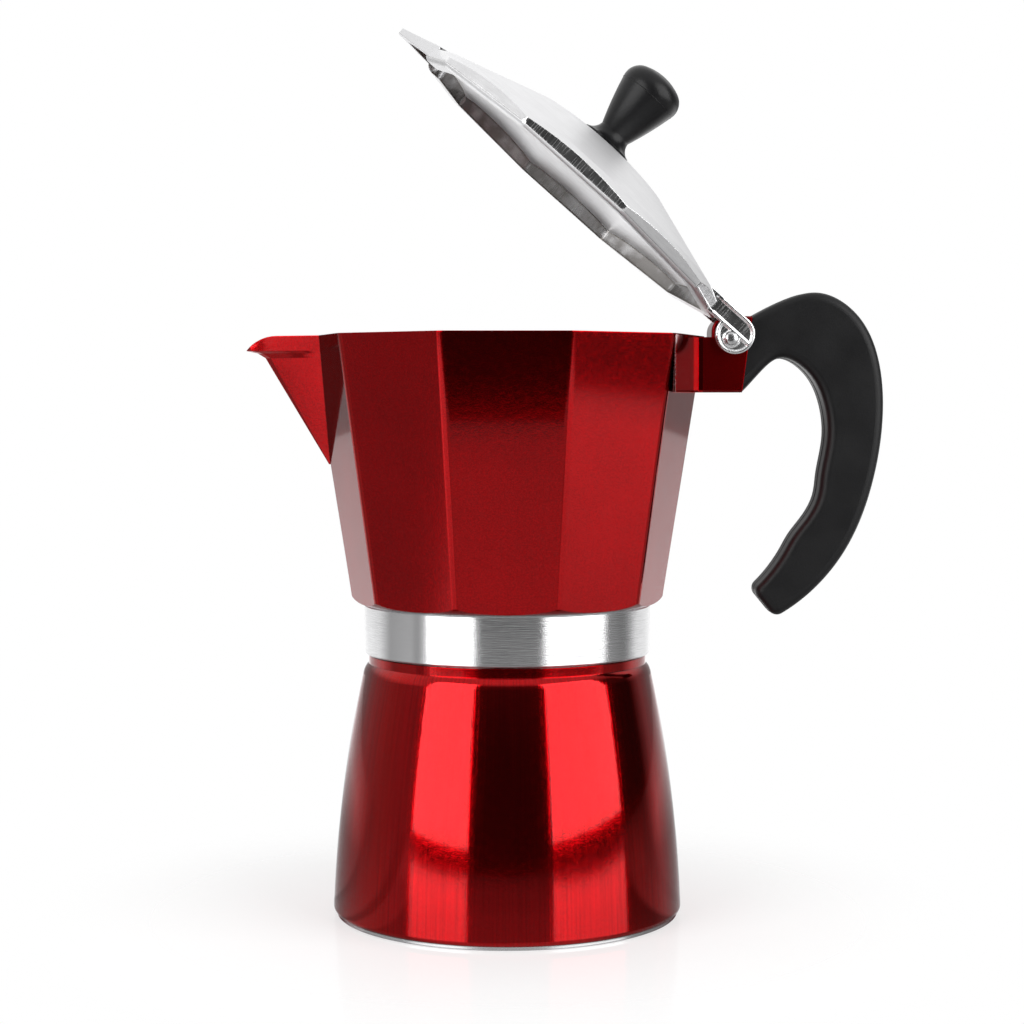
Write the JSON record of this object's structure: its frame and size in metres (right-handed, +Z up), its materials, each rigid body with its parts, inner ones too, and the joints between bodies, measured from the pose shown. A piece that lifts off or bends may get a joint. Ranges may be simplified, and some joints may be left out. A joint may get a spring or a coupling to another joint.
{
  "type": "moka pot",
  "caption": "Stove-top coffee maker: a round red boiler, a faceted red jug with a pointed spout screwed onto it, a hinged aluminium lid and a curved black handle.",
  "frame": {"origin": "centre of the round base, on the surface the pot stands on", "axes": "+Z up, +X towards the handle, -X towards the spout, +Y towards the side with the safety valve"},
  "size_m": [0.1812, 0.1084, 0.2522],
  "materials": {
    "red_lacquer": "gloss",
    "polished_aluminium": "polished",
    "bare_aluminium": "satin",
    "steel": "satin",
    "brass": "satin",
    "black_plastic": "satin",
    "seal_rubber": "matte"
  },
  "bodies": {
    "boiler": {"boiler": "red_lacquer", "valve_body": "brass", "valve_washer": "seal_rubber", "valve_nut": "brass", "valve_spring": "steel"},
    "valve": {"valve_plunger": "brass"},
    "funnel": {"funnel": "bare_aluminium", "funnel_stem": "bare_aluminium", "funnel_sieve": "bare_aluminium"},
    "seal": {"gasket": "seal_rubber", "filter_plate": "bare_aluminium"},
    "jug": {"jug": "red_lacquer", "collar_band": "polished_aluminium", "riser_column": "bare_aluminium", "handle": "black_plastic", "handle_screw": "steel", "hinge_pin": "steel"},
    "lid": {"lid": "polished_aluminium", "lid_knob": "black_plastic", "knob_insert": "brass", "knob_screw": "steel", "knob_washer": "steel"}
  },
  "joints": [
    {"name": "valve_pop", "type": "slide", "parent": "boiler", "child": "valve", "axis": [0, 1, 0], "range_m": [0, 0.0015], "stiffness_N_per_m": 300, "springref_m": -0.005, "deforming": ["valve_spring"]},
    {"name": "funnel_lift", "type": "slide", "parent": "boiler", "child": "funnel", "axis": [0, 0, 1], "range_m": [0, 0.08]},
    {"name": "jug_rise", "type": "slide", "parent": "funnel", "child": "seal", "axis": [0, 0, 1], "range_m": [0, 0.0075]},
    {"name": "jug_turn", "type": "hinge", "parent": "seal", "child": "jug", "pos_m": [0, 0, 0.08], "axis": [0, 0, 1], "range_deg": [0, 900]},
    {"name": "lid_hinge", "type": "hinge", "parent": "jug", "child": "lid", "pos_m": [0.0631, 0, 0.1643], "axis": [0, 1, 0], "range_deg": [-41.6, 52]}
  ],
  "couplings": [
    {"joint": "jug_rise", "follows": "jug_turn", "m_per_rad": 0.00047746}
  ]
}
